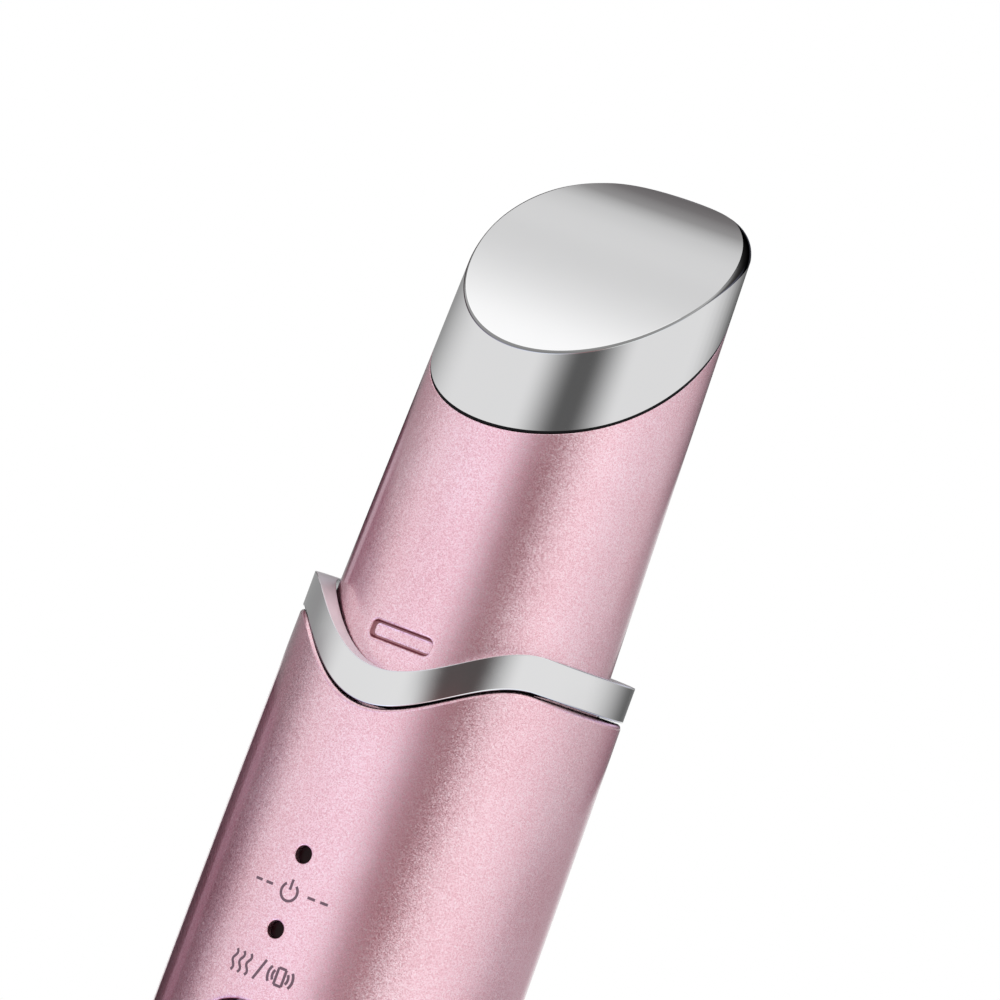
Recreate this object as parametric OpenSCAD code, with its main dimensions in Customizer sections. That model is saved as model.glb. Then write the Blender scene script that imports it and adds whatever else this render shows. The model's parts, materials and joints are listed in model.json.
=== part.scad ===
// Heated eye massager wand. It stands on its base, its axis is Z, and its button,
// lights and collar valley face -Y. All sizes are in millimetres.

/* [Handle] */
// Height of the handle's widest place
belly_z = 60; // [56:1:64]
// Diameter at the widest place
belly_d = 25; // [24.8:0.1:25.4]
// Diameter at the base
base_d = 24; // [23.8:0.1:24.4]
// Diameter where the handle meets the collar
shoulder_d = 24.36; // [24.2:0.02:24.6]
// Bore of the handle
bore_d = 21; // [20.96:0.02:21.04]

/* [Collar] */
// Height of the collar's level top edge
collar_top_z = 100.9; // [100.5:0.1:101.5]
// Height of the collar's band
collar_h = 2.64; // [2.2:0.02:3]
// Depth of the valley at the front
valley_depth = 4.7; // [4:0.1:5]
// Angle from the front at which the valley ends
valley_angle = 55; // [50:1:58]
// Gap between the collar and the handle's edge
collar_gap = 0.1; // [0.05:0.05:0.25]

/* [Neck] */
// Diameter of the neck just above the collar
neck_d = 20.42; // [20.3:0.02:20.5]
// Slope of the neck's side, in degrees
neck_slope = 1.69; // [1.5:0.01:1.8]
// Wall of the neck
neck_wall = 1.5; // [1.4:0.05:1.6]
// Width of the cover's snap recess
snap_w = 5.1; // [4.5:0.1:5.5]
// Height of the snap recess
snap_h = 1.3; // [1:0.05:1.4]
// Height of the snap recess above the base
snap_z = 98.7; // [98.5:0.1:99.5]

/* [Head] */
// Height of the face on the wand's axis
face_mid_z = 129.95; // [129.5:0.05:130.5]
// Rise of the face towards the back, per millimetre
face_rise = 0.936; // [0.9:0.002:0.96]
// Wall of the metal head
head_wall = 1.3; // [1.2:0.05:1.4]
// Thickness of the black seal under the head
seal_h = 0.28; // [0.2:0.02:0.4]
// Height of the seal's line on the wand's axis
joint_mid_z = 123.1; // [122.6:0.1:123.6]

/* [Button and lights] */
// Height of the button's centre
button_z = 66.4; // [65.8:0.1:66.8]
// Diameter of the button
button_d = 9; // [8.6:0.1:9.2]
// Gap round the button
button_gap = 0.2; // [0.15:0.05:0.25]
// Travel of the button
button_travel = 0.5; // [0.3:0.05:0.5]
// Height of the power light
power_z = 82.1; // [81.8:0.1:82.4]
// Height of the heat light
heat_z = 76.5; // [76.2:0.1:76.8]
// Diameter of each light's hole
light_d = 1.3; // [1.2:0.05:1.5]

/* [Battery and base cap] */
// Height of the joint between the base cap and the handle
cap_h = 14; // [13.5:0.1:14.2]
// Corner radius round the base
base_round = 1.5; // [1:0.1:2]
// Diameter of the AAA cell
cell_d = 10.5; // [10.2:0.1:10.5]
// Length of the AAA cell over its tip
cell_len = 44.5; // [44.3:0.1:44.5]
// Pitch of the cap's screw thread
thread_pitch = 3; // [2.8:0.1:3.2]

/* [Motor] */
// Diameter of the vibration motor
motor_d = 6; // [5.8:0.1:6.2]
// Length of the motor's can
motor_len = 10; // [9.5:0.1:10]
// Diameter of the motor's shaft
shaft_d = 0.8; // [0.8:0.05:1]

/* [Hidden] */
$fn = 72;

pearl = "#eccdd2";
chrome = "#c9cacc";
black = "#1d1a1c";
ivory = "#e4ddcf";
copper = "#b87333";
steel = "#9aa0a6";
clear = "#f3f0f2";
bronze = "#a9824f";
dark_metal = "#6f7377";
board_green = "#1f5b3a";
plunger_grey = "#d8d2c8";
led_white = "#f2efe6";
ferrite = "#4a4a4c";
ceramic = "#8c6b4a";
red = "#b3262b";
blue = "#2b4fb3";
wrap_green = "#3d6f4e";
brass = "#c2a14d";

// Everything cut right through runs past the surface by this much
past = 1;
// Play between still parts that slide together
play = 0.03;
far = 30;

// Handle: where its tube starts, and the mouth of its bore
handle_foot_z = cap_h + 0.2;
outline_step = 4;

// Neck: the cone's reference height, and the spigot that sits in the handle
neck_ref_z = 103;
spigot_foot_z = 88;
spigot_top_z = 95.5;
spigot_play = 0.15;
snap_depth = 0.9;
snap_corner = 0.45;

// Head: the cone is drawn up to tip_z and cut by the face
tip_z = 136;
// The face bows evenly, and rolls over towards the tip about roll_u behind the axis
face_bow = 0.002;
roll_drop = 1.006;
roll_u = 6.7;
roll_w = 2;
joint_rise = 0.97;
joint_bow = 0.0133;
joint_knee = 4.6;
joint_fall = 0.08;
seal_recess = 0.06;
face_wall = 1.25;
profile_reach = 13;
profile_step = 0.65;
// The solids of the head are drawn from these heights upwards
head_foot_z = 108;
head_hollow_foot_z = 103;

// Heater stack under the face, as depths below it
film_top = face_wall + 0.03;
film_t = 0.2;
carrier_top = film_top + film_t + 0.03;
film_d = 14.6;
bead_d = 1.3;
bead_gap = 0.4;
bead_pocket_d = 2;

// Head carrier and motor, from the bottom of the motor's can upwards
carrier_foot_z = 108;
carrier_play = 0.05;
motor_z = 101;
sleeve_t = 0.6;
holder_t = 1;
bush_d = 2.4;
bush_h = 1.2;
bush_stand = 0.2;
sleeve_foot_gap = 0.5;
sleeve_top_gap = 1.2;
weight_back = 0.4;
weight_z = motor_z + motor_len + 0.7;
weight_h = 4;
weight_d = 5.4;
chamber_d = 7;
chamber_top_z = weight_z + weight_h + 1;
shaft_foot_z = motor_z + 5;
shaft_top_z = weight_z + weight_h + 0.3;
shaft_play = 0.05;

// Circuit board: depths are measured forwards from the axis
board_back = 3.6;
board_t = 1;
board_front = board_back + board_t;
board_w = 16;
board_foot_z = 54;
board_top_z = 86;
screw_places = [[-6.2, 58.5], [6.2, 83.2]];
post_places = [[6.2, 58.5], [-6.2, 83.2]];
screw_d = 1.2;
screw_head_d = 2.4;
screw_head_h = 0.7;
post_d = 3;

// Switch and button, as depths forwards from the axis
switch_w = 6;
switch_h = 2.7;
switch_front = board_front + switch_h;
plunger_d = 3.4;
plunger_play = 0.08;
flange_d = 10.8;
flange_back = 8.2;
flange_front = 8.95;
plunger_front = flange_back - 0.02;
plunger_back = board_front + 2.05;
plunger_well = plunger_back - button_travel - 0.2;
cap_recess = 0.06;

// Small parts on the board, each as width, height off the board, and length up it
chip_size = [5, 0.9, 3.2];
chip_z = 72.2;
coil_size = [4.4, 2];
coil_place = [2.2, 58.4];
capacitor_size = [1.6, 0.8, 0.9];
capacitor_x = -2.6;
capacitor_heights = [56.2, 58.3, 60.4];

// Wiring
lead_d = 0.7;
lead_hole_d = 1;
lead_x = [-1.6, 1.6];
heater_lead_depth = 5.3;
motor_lead_x = [-1, 1];
motor_lead_d = 0.6;
motor_lead_depth = 2.4;
lead_foot_z = board_top_z - 2;
lead_end = 0.6;
solder_d = 0.9;
solder_z = board_top_z - 1.4;

// Lights
led_w = 1.6;
led_h = 0.8;
pipe_play = 0.04;
pipe_back = board_front + led_h + 0.1;
pipe_front = 11.8;
pipe_flange_d = 2.8;
pipe_flange_back = 9.7;
pipe_flange_front = 10.33;

// Battery compartment
cell_foot_z = 6.5;
cell_tip_h = 0.8;
cell_tip_d = 3.8;
cell_top_z = cell_foot_z + cell_len;
tube_d = cell_d + 0.5;
tube_wall = 1;
tube_foot_z = 22.6;
tube_roof_z = cell_top_z + 0.5;
tube_roof_t = 1.5;
flange_t = 1.4;
upper_flange_z = 46;
plate_t = 0.3;
plate_d = 8;
plate_z = cell_top_z + 0.08;
tongue_w = 3;
tongue_back = board_back - 0.5;
tongue_top_z = board_foot_z + 2;

// Chassis plate behind the circuit board
spine_front = 1.7;
spine_back = 0.5;
spine_w = 14;
spine_top_z = 94;
shelf_d = 17.4;
shelf_t = 1.2;

// Strip that brings the cell's negative side up to the board
strip_x = 7.1;
strip_t = 0.35;
strip_w = 2;
strip_inner_x = 5.7;
strip_play = 0.2;
strip_foot_z = 22.1;
strip_top_z = 57;

// Base cap
cap_floor = 2.2;
cup_d = 12.6;
cap_spigot_d = 17;
cap_spigot_top_z = 21.8;
coin_slot = [13, 1.6, 1];
seal_z = 15.3;
seal_d = 1.3;
ring_bore_d = 18.7;
ring_foot_z = cap_h + 0.6;
ring_top_z = 22.4;
thread_foot_z = 17.4;
thread_turns = 1.1;
thread_root_w = 1.1;
thread_crest_w = 0.6;
thread_drop = 0.6;
cap_thread_crest_d = 18.3;
ring_thread_crest_d = 17.5;
thread_bite = 0.15;
thread_steps = 24;

// Cup-shaped contact in the cap, and the coil spring on it
contact_d = 12.2;
contact_wall = 0.2;
contact_foot_z = cap_floor + 0.05;
contact_top_z = 21.95;
wire_d = 0.6;
coil_turns = 3;
coil_foot_r = 4.2;
coil_top_r = 2.6;
coil_steps = 16;
coil_sides = 6;

// ---- outlines ----

function handle_r(z) = belly_d / 2 - (z < belly_z
    ? (belly_d - base_d) / 2 * pow((belly_z - z) / belly_z, 2)
    : (belly_d - shoulder_d) / 2 * pow((z - belly_z) / (collar_top_z - collar_h - belly_z), 2));

function neck_r(z) = neck_d / 2 - tan(neck_slope) * (z - neck_ref_z);

function roll(u) = roll_drop * roll_w * ln((1 + exp((u - roll_u) / roll_w)) / (1 + exp(-roll_u / roll_w)));

function face_z(u) = face_mid_z + face_rise * u - face_bow * pow(u, 2) - roll(u);

function joint_curve(u) = joint_mid_z + joint_rise * u + joint_bow * pow(u, 2);

function joint_z(u) = u < joint_knee ? joint_curve(u)
    : joint_curve(joint_knee) + (joint_rise + 2 * joint_bow * joint_knee) * (u - joint_knee)
      - joint_fall * pow(u - joint_knee, 2);

function wave_z(angle, level) = level - valley_depth * (1 + cos(180 * angle / valley_angle)) / 2;

// Heights from a to b, both included, in steps of about s
function heights(a, b, s) = let (n = ceil((b - a) / s)) [for (i = [0:n]) a + (b - a) * i / n];

// ---- helpers ----

// The handle's outer form between two heights
module handle_form(z0, z1) {
    rotate_extrude() polygon(concat([[0, z0]],
        [for (z = heights(z0, z1, outline_step)) [handle_r(z), z]], [[0, z1]]));
}

// The neck and head's outer form, drawn in by inset, between two heights
module body_form(inset, z0, z1) {
    rotate_extrude() polygon([[0, z0], [neck_r(z0) - inset, z0], [neck_r(z1) - inset, z1], [0, z1]]);
}

// Everything under the face, lowered by depth
module under_face(depth) {
    translate([-far, 0, 0]) rotate([90, 0, 90]) linear_extrude(2 * far)
        polygon(concat([[-profile_reach, 0]],
            [for (u = [-profile_reach:profile_step:profile_reach]) [u, face_z(u) - depth]],
            [[profile_reach, 0]]));
}

// Everything under the line between neck and head, raised by lift
module under_joint(lift) {
    translate([-far, 0, 0]) rotate([90, 0, 90]) linear_extrude(2 * far)
        polygon(concat([[-profile_reach, 0]],
            [for (u = [-profile_reach:profile_step:profile_reach]) [u, joint_z(u) + lift]],
            [[profile_reach, 0]]));
}

// Everything under the collar's wavy line whose level stretch is at this height
module under_wave(level) {
    wave_r = shoulder_d / 2;
    difference() {
        translate([-far, -far, 0]) cube([2 * far, 2 * far, level]);
        rotate([90, 0, 0]) linear_extrude(far) polygon(concat(
            [[-wave_r * sin(valley_angle), level + past]],
            [for (a = [-valley_angle:valley_angle / 14:valley_angle + 0.01])
                [wave_r * sin(a), wave_z(a, level)]],
            [[wave_r * sin(valley_angle), level + past]]));
    }
}

// Rod pointing forwards, between two depths in front of the axis
module front_rod(d, back, front, z, x = 0) {
    translate([x, -back, z]) rotate([90, 0, 0]) cylinder(d = d, h = front - back);
}

// Block in front of the axis, between two depths, centred on x and z
module front_block(w, back, front, h, z, x = 0) {
    translate([x - w / 2, -front, z - h / 2]) cube([w, front - back, h]);
}

module tube(outer_d, inner_d, z0, z1) {
    difference() {
        translate([0, 0, z0]) cylinder(d = outer_d, h = z1 - z0);
        translate([0, 0, z0 - past]) cylinder(d = inner_d, h = z1 - z0 + 2 * past);
    }
}

// One right-handed screw ridge from the root radius to the crest radius
module thread_ridge(root_r, crest_r, z0) {
    n = round(thread_steps * thread_turns);
    section = [[root_r, -thread_root_w / 2], [crest_r, -thread_crest_w / 2],
        [crest_r, thread_crest_w / 2], [root_r, thread_root_w / 2]];
    points = [for (i = [0:n], p = section) let (a = 360 * i / thread_steps)
        [p[0] * cos(a), p[0] * sin(a), z0 + p[1] + thread_pitch * i / thread_steps]];
    sides = [for (i = [0:n - 1], k = [0:3]) let (a = 4 * i + k, b = 4 * i + (k + 1) % 4)
        each [[a, b, b + 4], [a, b + 4, a + 4]]];
    ends = [[3, 2, 1, 0], [4 * n, 4 * n + 1, 4 * n + 2, 4 * n + 3]];
    outward = crest_r > root_r;
    faces = concat(sides, ends);
    polyhedron(points, [for (f = faces) outward ? f : [for (k = [len(f) - 1:-1:0]) f[k]]]);
}

// Conical coil of round wire between two heights of its centre line
module coil(foot_r, top_r, z0, z1) {
    n = coil_turns * coil_steps;
    points = [for (i = [0:n], k = [0:coil_sides - 1])
        let (a = 360 * i / coil_steps, b = 360 * k / coil_sides,
            r = foot_r + (top_r - foot_r) * i / n + wire_d / 2 * cos(b))
        [r * cos(a), r * sin(a), z0 + (z1 - z0) * i / n + wire_d / 2 * sin(b)]];
    sides = [for (i = [0:n - 1], k = [0:coil_sides - 1])
        let (a = coil_sides * i + k, b = coil_sides * i + (k + 1) % coil_sides)
        each [[a, a + coil_sides, b + coil_sides], [a, b + coil_sides, b]]];
    ends = [[for (k = [0:coil_sides - 1]) k],
        [for (k = [coil_sides - 1:-1:0]) coil_sides * n + k]];
    polyhedron(points, concat(sides, ends));
}

// ---- casing ----

module handle_shell() {
    color(pearl) difference() {
        intersection() {
            handle_form(handle_foot_z, collar_top_z);
            under_wave(collar_top_z - collar_h - collar_gap);
        }
        translate([0, 0, handle_foot_z - past])
            cylinder(d = bore_d, h = collar_top_z - handle_foot_z + 2 * past);
        front_rod(button_d + 2 * button_gap, spine_front, far, button_z);
        for (z = [power_z, heat_z]) front_rod(light_d, spine_front, far, z);
    }
}

module neck_shell() {
    color(pearl) difference() {
        union() {
            intersection() {
                body_form(0, spigot_top_z, tip_z);
                under_joint(0);
            }
            translate([0, 0, spigot_foot_z])
                cylinder(d = bore_d - 2 * spigot_play, h = spigot_top_z - spigot_foot_z);
        }
        body_form(neck_wall, spigot_top_z - past, tip_z);
        translate([0, 0, spigot_foot_z - past])
            cylinder(r = neck_r(spigot_top_z) - neck_wall, h = spigot_top_z - spigot_foot_z + past);
        snap_recess();
    }
}

// Rounded recess that a cover's catch drops into
module snap_recess() {
    w = snap_w / 2 - snap_corner;
    h = snap_h / 2 - snap_corner;
    translate([0, snap_depth - neck_r(snap_z), snap_z]) rotate([90, 0, 0]) linear_extrude(far) {
        square([snap_w, 2 * h], center = true);
        square([2 * w, snap_h], center = true);
        for (x = [-w, w], y = [-h, h]) translate([x, y]) circle(r = snap_corner);
    }
}

module wave_collar() {
    color(chrome) difference() {
        intersection() {
            tube(shoulder_d, bore_d, collar_top_z - collar_h - valley_depth - past, collar_top_z);
            under_wave(collar_top_z);
        }
        under_wave(collar_top_z - collar_h);
    }
}

module massage_head() {
    color(chrome) difference() {
        intersection() {
            body_form(0, head_foot_z, tip_z);
            under_face(0);
        }
        intersection() {
            body_form(head_wall, head_hollow_foot_z, tip_z);
            under_face(face_wall);
        }
        under_joint(seal_h);
    }
}

module head_gasket() {
    color(black) difference() {
        intersection() {
            body_form(seal_recess, head_foot_z, tip_z);
            under_joint(seal_h);
        }
        body_form(head_wall, head_hollow_foot_z, tip_z);
        under_joint(0);
    }
}

// ---- heater and head carrier ----

// A layer that follows the face, between two depths below it
module face_layer(d, top, bottom) {
    difference() {
        intersection() {
            translate([0, 0, head_foot_z]) cylinder(d = d, h = far);
            under_face(top);
        }
        under_face(bottom);
    }
}

module heater_film() {
    color(copper) intersection() {
        face_layer(film_d, film_top, film_top + film_t);
        body_form(head_wall + 0.1, head_foot_z, tip_z);
    }
}

module thermistor() {
    color(black) translate([0, 0, face_z(0) - carrier_top - bead_d / 2 - bead_gap]) sphere(d = bead_d);
}

module head_carrier() {
    holder_d = motor_d + 2 * (sleeve_t + play);
    inset = neck_wall + carrier_play;
    color(ivory) difference() {
        union() {
            intersection() {
                body_form(inset, carrier_foot_z, tip_z);
                under_face(carrier_top);
            }
            translate([0, 0, motor_z]) cylinder(d = holder_d + 2 * holder_t, h = carrier_foot_z - motor_z);
        }
        translate([0, 0, motor_z - past]) cylinder(d = holder_d, h = motor_len + past);
        translate([0, 0, motor_z + motor_len - past])
            cylinder(d = chamber_d, h = chamber_top_z - motor_z - motor_len + past);
        translate([0, 0, face_z(0) - carrier_top - 2 * bead_d]) cylinder(d = bead_pocket_d, h = far);
        for (x = lead_x) translate([x, -heater_lead_depth, carrier_foot_z - past])
            cylinder(d = lead_hole_d, h = far);
    }
}

// ---- vibration motor ----

module motor_can() {
    color(steel) difference() {
        translate([0, 0, motor_z]) cylinder(d = motor_d, h = motor_len);
        translate([0, 0, motor_z + motor_len - bush_h]) cylinder(d = bush_d + 2 * play, h = bush_h + past);
        translate([0, 0, shaft_foot_z - 0.2]) cylinder(d = shaft_d + 2 * shaft_play, h = motor_len);
    }
}

module motor_bush() {
    can_top_z = motor_z + motor_len;
    color(bronze)
        tube(bush_d, shaft_d + 2 * shaft_play, can_top_z - bush_h + play, can_top_z + bush_stand);
}

module motor_sleeve() {
    color(black) tube(motor_d + 2 * sleeve_t, motor_d + 2 * play,
        motor_z + sleeve_foot_gap, motor_z + motor_len - sleeve_top_gap);
}

module motor_shaft() {
    color(steel) translate([0, 0, shaft_foot_z]) cylinder(d = shaft_d, h = shaft_top_z - shaft_foot_z);
}

// Half-round weight pressed on the shaft
module motor_weight() {
    color(dark_metal) difference() {
        translate([0, 0, weight_z]) cylinder(d = weight_d, h = weight_h);
        translate([-weight_d, shaft_d / 2 + weight_back, weight_z - past])
            cube([2 * weight_d, weight_d, weight_h + 2 * past]);
        translate([0, 0, weight_z - past]) cylinder(d = shaft_d - 0.02, h = weight_h + 2 * past);
    }
}

// ---- chassis and circuit board ----

module chassis() {
    tube_outer_d = tube_d + 2 * tube_wall;
    roof_top_z = tube_roof_z + tube_roof_t;
    color(ivory) difference() {
        union() {
            tube(tube_outer_d, tube_d, tube_foot_z, tube_roof_z);
            translate([0, 0, tube_roof_z]) cylinder(d = tube_outer_d, h = tube_roof_t);
            for (z = [tube_foot_z, upper_flange_z])
                tube(bore_d - 0.2, tube_outer_d - 0.2, z, z + flange_t);
            front_block(spine_w, spine_back, spine_front, spine_top_z - tube_roof_z,
                (spine_top_z + tube_roof_z) / 2);
            intersection() {
                translate([0, 0, spine_top_z - shelf_t]) cylinder(d = shelf_d, h = shelf_t);
                translate([-far, -spine_front, 0]) cube([2 * far, far, tip_z]);
            }
            for (p = concat(screw_places, post_places))
                front_rod(post_d, spine_back, board_back, p[1], p[0]);
        }
        for (p = screw_places) front_rod(screw_d - 0.2, spine_back - past, far, p[1], p[0]);
        translate([strip_x - strip_play, -strip_w / 2 - strip_play, 0])
            cube([strip_t + 2 * strip_play, strip_w + 2 * strip_play, strip_top_z + past]);
        front_block(tongue_w + 1, tongue_back - 0.8, board_back + 0.4, 2 * tube_roof_t + past, roof_top_z);
    }
}

module circuit_board() {
    color(board_green) difference() {
        front_block(board_w, board_back, board_front, board_top_z - board_foot_z,
            (board_top_z + board_foot_z) / 2);
        for (p = screw_places) front_rod(screw_d + 0.3, board_back - past, board_front + past, p[1], p[0]);
    }
}

module board_screws() {
    color(steel) for (p = screw_places) {
        front_rod(screw_d - 0.22, spine_back + 0.3, board_front + screw_head_h / 2, p[1], p[0]);
        difference() {
            front_rod(screw_head_d, board_front, board_front + screw_head_h, p[1], p[0]);
            front_block(screw_head_d, board_front + screw_head_h / 2, far, 0.4, p[1], p[0]);
        }
    }
}

module switch_body() {
    color(black) difference() {
        front_block(switch_w, board_front, switch_front, switch_w, button_z);
        front_rod(plunger_d + 2 * plunger_play, plunger_well, far, button_z);
    }
}

module switch_plunger() {
    color(plunger_grey) front_rod(plunger_d, plunger_back, plunger_front, button_z);
}

module button_cap() {
    color(pearl) union() {
        intersection() {
            front_rod(button_d, flange_back, far, button_z);
            translate([0, 0, button_z])
                cylinder(r = handle_r(button_z) - cap_recess, h = 2 * button_d, center = true);
        }
        intersection() {
            front_rod(flange_d, flange_back, flange_front, button_z);
            translate([0, 0, button_z]) cylinder(d = bore_d - 0.1, h = 2 * button_d, center = true);
        }
    }
}

module led(z) {
    color(led_white) front_block(led_w, board_front, board_front + led_h, led_w, z);
}

module light_pipe(z) {
    color(clear) union() {
        front_rod(light_d - 2 * pipe_play, pipe_back, pipe_front, z);
        front_rod(pipe_flange_d, pipe_flange_back, pipe_flange_front, z);
    }
}

module power_led() { led(power_z); }

module heat_led() { led(heat_z); }

module power_light_pipe() { light_pipe(power_z); }

module heat_light_pipe() { light_pipe(heat_z); }

// Block on the front of the board
module on_board(size, z, x = 0) {
    front_block(size[0], board_front, board_front + size[1], size[2], z, x);
}

module control_chip() {
    color(black) on_board(chip_size, chip_z);
}

module boost_coil() {
    color(ferrite) front_rod(coil_size[0], board_front, board_front + coil_size[1],
        coil_place[1], coil_place[0]);
}

module board_capacitors() {
    color(ceramic) for (z = capacitor_heights) on_board(capacitor_size, z, capacitor_x);
}

// ---- wiring ----

module heater_leads() {
    color(red) for (x = lead_x) translate([x, -heater_lead_depth, lead_foot_z])
        cylinder(d = lead_d, h = face_z(-heater_lead_depth) - carrier_top - lead_end - lead_foot_z);
}

module motor_leads() {
    color(blue) for (x = motor_lead_x) {
        translate([x, -motor_lead_depth, lead_foot_z])
            cylinder(d = motor_lead_d, h = motor_z - lead_foot_z - 0.02);
        front_rod(solder_d, motor_lead_depth - 0.2, board_back, solder_z, x);
    }
}

// ---- battery compartment ----

module positive_contact() {
    color(steel) union() {
        translate([0, 0, plate_z]) cylinder(d = plate_d, h = plate_t);
        front_block(tongue_w, tongue_back, tongue_back + plate_t, tongue_top_z - plate_z,
            (tongue_top_z + plate_z) / 2);
        front_block(tongue_w, tongue_back, board_back, 2 * plate_t, tongue_top_z - plate_t);
    }
}

module ground_strip() {
    color(steel) union() {
        translate([strip_inner_x, -strip_w / 2, strip_foot_z])
            cube([strip_x + strip_t - strip_inner_x, strip_w, strip_t]);
        translate([strip_x, -strip_w / 2, strip_foot_z])
            cube([strip_t, strip_w, strip_top_z - strip_foot_z]);
        translate([strip_x, -board_back, strip_top_z - strip_w])
            cube([strip_t, board_back, strip_w]);
    }
}

module battery() {
    color(wrap_green) union() {
        translate([0, 0, cell_foot_z]) cylinder(d = cell_d, h = cell_len - cell_tip_h);
        translate([0, 0, cell_top_z - cell_tip_h]) cylinder(d = cell_tip_d, h = cell_tip_h);
    }
}

module thread_ring() {
    color(ivory) union() {
        tube(bore_d - 2 * play, ring_bore_d, ring_foot_z, ring_top_z);
        thread_ridge(ring_bore_d / 2 + thread_bite, ring_thread_crest_d / 2,
            thread_foot_z + thread_pitch / 2 - thread_drop);
    }
}

module battery_cap() {
    color(pearl) difference() {
        union() {
            rotate_extrude() polygon(concat([[0, 0]],
                [for (a = [0:10:90]) [handle_r(base_round) - base_round * (1 - sin(a)),
                    base_round * (1 - cos(a))]],
                [for (z = heights(base_round + outline_step / 2, cap_h, outline_step)) [handle_r(z), z]],
                [[0, cap_h]]));
            translate([0, 0, cap_h - past])
                cylinder(d = cap_spigot_d, h = cap_spigot_top_z - cap_h + past);
            thread_ridge(cap_spigot_d / 2 - thread_bite, cap_thread_crest_d / 2,
                thread_foot_z - thread_drop);
        }
        translate([0, 0, cap_floor]) cylinder(d = cup_d, h = far);
        tube(bore_d, cap_spigot_d, cap_floor, cap_h + past);
        translate([-coin_slot[0] / 2, -coin_slot[1] / 2, -past])
            cube([coin_slot[0], coin_slot[1], coin_slot[2] + past]);
        rotate_extrude() translate([cap_spigot_d / 2, seal_z]) circle(d = seal_d + 0.02);
    }
}

module cap_seal() {
    color(black) rotate_extrude() translate([cap_spigot_d / 2, seal_z]) circle(d = seal_d);
}

module cap_contact() {
    color(steel) difference() {
        translate([0, 0, contact_foot_z]) cylinder(d = contact_d, h = contact_top_z - contact_foot_z);
        translate([0, 0, contact_foot_z + plate_t])
            cylinder(d = contact_d - 2 * contact_wall, h = contact_top_z);
    }
}

module battery_spring() {
    color(brass) coil(coil_foot_r, coil_top_r,
        contact_foot_z + plate_t + wire_d / 2, cell_foot_z - wire_d / 2 - 0.02);
}

handle_shell();
neck_shell();
wave_collar();
massage_head();
head_gasket();
heater_film();
thermistor();
head_carrier();
motor_can();
motor_bush();
motor_sleeve();
motor_shaft();
motor_weight();
chassis();
circuit_board();
board_screws();
switch_body();
switch_plunger();
button_cap();
power_led();
heat_led();
power_light_pipe();
heat_light_pipe();
control_chip();
boost_coil();
board_capacitors();
heater_leads();
motor_leads();
positive_contact();
ground_strip();
battery();
thread_ring();
battery_cap();
cap_seal();
cap_contact();
battery_spring();
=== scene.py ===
import bmesh
import bpy
import json
import math
from mathutils import Matrix, Vector

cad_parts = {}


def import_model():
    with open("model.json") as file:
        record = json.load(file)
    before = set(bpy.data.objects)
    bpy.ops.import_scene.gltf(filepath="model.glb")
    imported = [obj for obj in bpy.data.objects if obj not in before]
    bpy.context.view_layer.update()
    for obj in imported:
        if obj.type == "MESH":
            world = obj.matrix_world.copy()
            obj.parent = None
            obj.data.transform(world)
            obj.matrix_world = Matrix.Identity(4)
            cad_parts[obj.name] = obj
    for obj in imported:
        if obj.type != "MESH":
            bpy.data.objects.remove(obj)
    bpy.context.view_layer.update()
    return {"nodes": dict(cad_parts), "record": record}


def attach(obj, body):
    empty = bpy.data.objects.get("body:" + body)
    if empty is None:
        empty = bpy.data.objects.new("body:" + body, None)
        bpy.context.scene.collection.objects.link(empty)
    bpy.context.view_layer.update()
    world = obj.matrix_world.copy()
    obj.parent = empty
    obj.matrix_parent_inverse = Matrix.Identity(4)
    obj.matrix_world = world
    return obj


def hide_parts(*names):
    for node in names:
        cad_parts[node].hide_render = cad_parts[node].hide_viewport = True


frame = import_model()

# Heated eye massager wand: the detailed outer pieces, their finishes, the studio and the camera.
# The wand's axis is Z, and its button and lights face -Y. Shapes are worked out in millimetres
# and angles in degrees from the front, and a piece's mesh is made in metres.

MM = 0.001
MEET_TURNS = 30         # more than enough for the crossing of two surfaces to settle
LIP_ROWS = 5            # rows of faces round an opening's rounded edge

# ---- dimensions, in millimetres ----

# Handle, from the gap above the base cap to the collar
BELLY_Z, BELLY_R = 60.0, 12.5
BASE_R, SHOULDER_R = 12.0, 12.18
BORE_R = 10.5
COLLAR_TOP, COLLAR_H, COLLAR_GAP = 100.9, 2.64, 0.16
VALLEY_DEPTH, VALLEY_ANGLE = 4.7, 55.0
HANDLE_TOP = COLLAR_TOP - COLLAR_H - COLLAR_GAP
HANDLE_ROUND = 0.35

# Neck
NECK_REF_Z, NECK_R, NECK_SLOPE = 103.0, 10.21, math.tan(math.radians(1.69))
NECK_WALL = 1.5
SPIGOT_R, SPIGOT_FOOT, SPIGOT_TOP = 10.35, 88.0, 95.5
SNAP_W, SNAP_H, SNAP_Z, SNAP_DEPTH, SNAP_CORNER = 5.1, 1.3, 98.7, 0.85, 0.45

# Head: its face rises towards the tip and rolls over there, and its rim's rounding widens round the tip
FACE_MID, FACE_RISE, FACE_BOW = 129.95, 0.936, 0.002
ROLL_DROP, ROLL_U, ROLL_W = 1.006, 6.7, 2.0
HEAD_WALL, FACE_WALL = 1.3, 1.25
RIM_ROUND, TIP_ROUND, TIP_START, TIP_FULL = 0.11, 1.12, 76.0, 138.0
RIM_FLATNESS, RIM_DROP = 0.4, 1.4

# Line between neck and head, and the black seal on it
JOINT_MID, JOINT_RISE, JOINT_BOW, JOINT_KNEE, JOINT_FALL = 123.1, 0.97, 0.0133, 4.6, 0.08
SEAL_H, SEAL_SIDE_H, SEAL_RECESS = 0.22, 0.42, 0.015
SEAL_START, SEAL_FULL = 45.0, 100.0

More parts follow.
